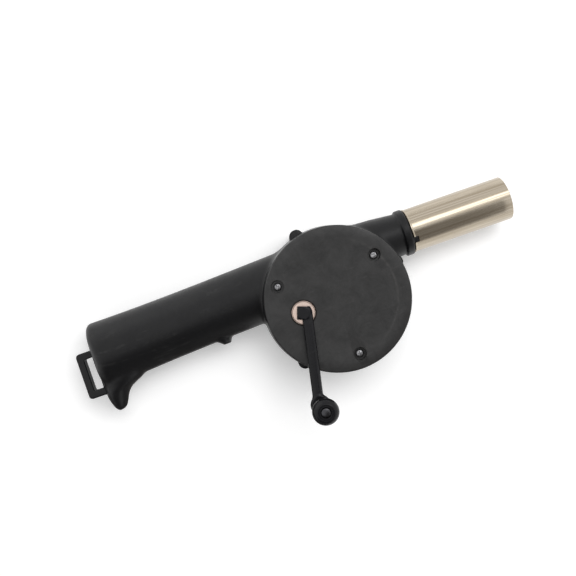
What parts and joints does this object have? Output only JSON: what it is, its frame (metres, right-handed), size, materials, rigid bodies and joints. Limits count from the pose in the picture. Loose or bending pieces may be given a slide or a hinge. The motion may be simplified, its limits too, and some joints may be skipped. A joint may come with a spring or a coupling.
{
  "type": "barbecue air blower",
  "caption": "Hand-cranked centrifugal air blower with a round geared casing, a long grip with a hook and a lanyard loop, and a metal outlet tube.",
  "frame": {"origin": "on the fan axis, in the plane of the casing's back, on which the blower lies", "axes": "+X along the outlet tube, away from the handle; +Z along the fan and crank axes, towards the crank; +Y to the side that the tube and the handle are set off to"},
  "size_m": [0.2565, 0.0996, 0.07],
  "materials": {
    "black_shell": "moulded black plastic with a fine satin grain",
    "black_cover": "moulded black plastic, finely textured and lightly scuffed",
    "black_crank": "smooth black plastic with a soft gloss",
    "plated_tube": "drawn tube, warm nickel tint, fine lines along its length",
    "steel": "zinc-plated steel",
    "dark_steel": "blackened steel",
    "bronze": "pale sintered bronze",
    "white_gear": "natural nylon",
    "black_fan": "moulded black plastic"
  },
  "bodies": {
    "casing": {"back_shell": "black_shell", "front_shell": "black_shell", "gear_cover": "black_cover", "cover_screw_1": "steel", "cover_screw_2": "steel", "cover_screw_3": "steel", "shell_screw_1": "steel", "shell_screw_2": "steel", "shell_screw_3": "steel", "shell_screw_4": "steel", "shell_screw_5": "steel", "nozzle_tube": "plated_tube", "rear_bush": "bronze", "front_bush": "bronze", "idler_pin": "steel", "crank_bush": "bronze"},
    "fan": {"impeller": "black_fan", "fan_shaft": "steel", "fan_pinion": "white_gear"},
    "idler": {"idler_gear": "white_gear"},
    "crank": {"crank_arm": "black_crank", "crank_gear": "white_gear", "crank_washer": "steel", "crank_screw": "steel", "knob_pin": "dark_steel"},
    "knob": {"crank_knob": "black_crank"}
  },
  "joints": [
    {"name": "crank_spin", "type": "hinge", "parent": "casing", "child": "crank", "pos_m": [-0.0194, -0.001, 0.0423], "axis": [0, 0, 1], "continuous": true},
    {"name": "idler_spin", "type": "hinge", "parent": "casing", "child": "idler", "pos_m": [-0.00897, 0.01607, 0.033], "axis": [0, 0, 1], "continuous": true},
    {"name": "fan_spin", "type": "hinge", "parent": "casing", "child": "fan", "pos_m": [0, 0, 0.016], "axis": [0, 0, 1], "continuous": true},
    {"name": "knob_spin", "type": "hinge", "parent": "crank", "child": "knob", "pos_m": [-0.0254, -0.04983, 0.06], "axis": [0, 0, 1], "continuous": true}
  ],
  "couplings": [
    {"joint": "idler_spin", "follows": "crank_spin", "ratio": -3.1667},
    {"joint": "fan_spin", "follows": "crank_spin", "ratio": 11.4}
  ]
}
